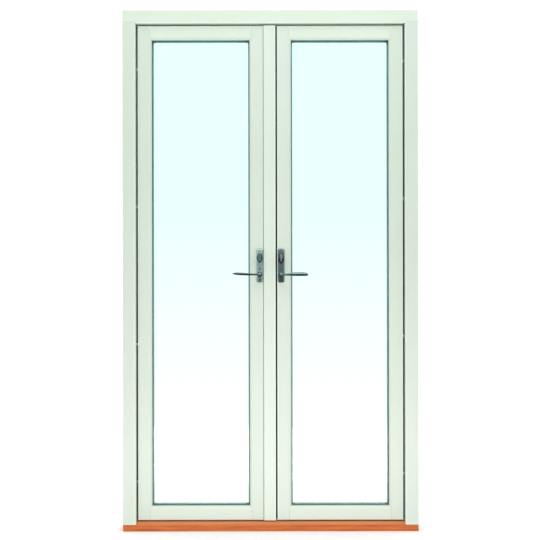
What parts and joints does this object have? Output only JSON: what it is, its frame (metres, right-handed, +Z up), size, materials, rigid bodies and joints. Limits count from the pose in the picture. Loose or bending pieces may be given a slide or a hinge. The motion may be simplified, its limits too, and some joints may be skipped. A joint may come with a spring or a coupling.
{
  "type": "french doors",
  "caption": "Outward-opening glazed double doors in a painted timber frame with a hardwood threshold, lever handles and a centre post.",
  "frame": {"origin": "bottom of the threshold, midway along it, on the frame's room face", "axes": "+X to the right seen from the room, +Y outward, away from the room, +Z up"},
  "size_m": [1.18, 0.1547, 2.08],
  "materials": {
    "paint": "satin paint on pine",
    "hardwood": "oiled hardwood",
    "rubber": "matte",
    "glass": "clear",
    "satin_metal": "satin",
    "spacer": "matte",
    "zinc": "zinc plated"
  },
  "bodies": {
    "frame": {"jamb_left": "paint", "jamb_right": "paint", "head": "paint", "threshold": "hardwood", "frame_seal": "rubber", "strike_plates": "zinc", "frame_hinge_flags": "zinc", "hinge_pins": "zinc", "frame_hinge_screws": "zinc"},
    "left_leaf": {"left_hinge_stile": "paint", "left_meeting_stile": "paint", "left_top_rail": "paint", "left_bottom_rail": "paint", "left_inner_pane": "glass", "left_outer_pane": "glass", "left_pane_spacer": "spacer", "left_glazing_gaskets": "rubber", "left_setting_blocks": "rubber", "left_side_beads": "paint", "left_end_beads": "paint", "left_hinge_flags": "zinc", "left_hinge_screws": "zinc", "left_dog_bolts": "zinc", "left_faceplate": "zinc", "left_lock_case": "zinc", "left_handle_plate": "satin_metal", "left_handle_screws": "zinc", "centre_post": "paint", "post_seal": "rubber", "post_screws": "zinc"},
    "left_lever_body": {"left_lever": "satin_metal", "left_spindle": "zinc"},
    "left_turn_body": {"left_thumb_turn": "satin_metal"},
    "left_upper_rod_body": {"left_upper_rod": "zinc"},
    "left_lower_rod_body": {"left_lower_rod": "zinc"},
    "right_leaf": {"right_hinge_stile": "paint", "right_meeting_stile": "paint", "right_top_rail": "paint", "right_bottom_rail": "paint", "right_inner_pane": "glass", "right_outer_pane": "glass", "right_pane_spacer": "spacer", "right_glazing_gaskets": "rubber", "right_setting_blocks": "rubber", "right_side_beads": "paint", "right_end_beads": "paint", "right_hinge_flags": "zinc", "right_hinge_screws": "zinc", "right_dog_bolts": "zinc", "right_faceplate": "zinc", "right_lock_case": "zinc", "right_handle_plate": "satin_metal", "right_handle_screws": "zinc"},
    "right_lever_body": {"right_lever": "satin_metal", "right_spindle": "zinc"},
    "right_turn_body": {"right_thumb_turn": "satin_metal"},
    "right_upper_rod_body": {"right_upper_rod": "zinc"},
    "right_lower_rod_body": {"right_lower_rod": "zinc"}
  },
  "joints": [
    {"name": "left_leaf_swing", "type": "hinge", "parent": "frame", "child": "left_leaf", "pos_m": [-0.548, 0.1125, 1.04], "axis": [0, 0, 1], "range_deg": [0, 120]},
    {"name": "left_lever_turn", "type": "hinge", "parent": "left_leaf", "child": "left_lever_body", "pos_m": [-0.043, 0, 1.025], "axis": [0, -1, 0], "range_deg": [0, 90]},
    {"name": "left_thumb_turn", "type": "hinge", "parent": "left_leaf", "child": "left_turn_body", "pos_m": [-0.043, 0, 1.092], "axis": [0, -1, 0], "range_deg": [0, 90]},
    {"name": "left_upper_rod_slide", "type": "slide", "parent": "left_leaf", "child": "left_upper_rod_body", "axis": [0, 0, 1], "range_m": [0, 0.02]},
    {"name": "left_lower_rod_slide", "type": "slide", "parent": "left_leaf", "child": "left_lower_rod_body", "axis": [0, 0, -1], "range_m": [0, 0.02]},
    {"name": "right_leaf_swing", "type": "hinge", "parent": "frame", "child": "right_leaf", "pos_m": [0.548, 0.1125, 1.04], "axis": [0, 0, -1], "range_deg": [0, 120]},
    {"name": "right_lever_turn", "type": "hinge", "parent": "right_leaf", "child": "right_lever_body", "pos_m": [0.043, 0, 1.025], "axis": [0, 1, 0], "range_deg": [0, 90]},
    {"name": "right_thumb_turn", "type": "hinge", "parent": "right_leaf", "child": "right_turn_body", "pos_m": [0.043, 0, 1.092], "axis": [0, 1, 0], "range_deg": [0, 90]},
    {"name": "right_upper_rod_slide", "type": "slide", "parent": "right_leaf", "child": "right_upper_rod_body", "axis": [0, 0, 1], "range_m": [0, 0.02]},
    {"name": "right_lower_rod_slide", "type": "slide", "parent": "right_leaf", "child": "right_lower_rod_body", "axis": [0, 0, -1], "range_m": [0, 0.02]}
  ],
  "couplings": [
    {"joint": "left_upper_rod_slide", "follows": "left_lever_turn", "m_per_rad": 0.01273},
    {"joint": "left_lower_rod_slide", "follows": "left_lever_turn", "m_per_rad": 0.01273},
    {"joint": "right_upper_rod_slide", "follows": "right_lever_turn", "m_per_rad": 0.01273},
    {"joint": "right_lower_rod_slide", "follows": "right_lever_turn", "m_per_rad": 0.01273}
  ]
}
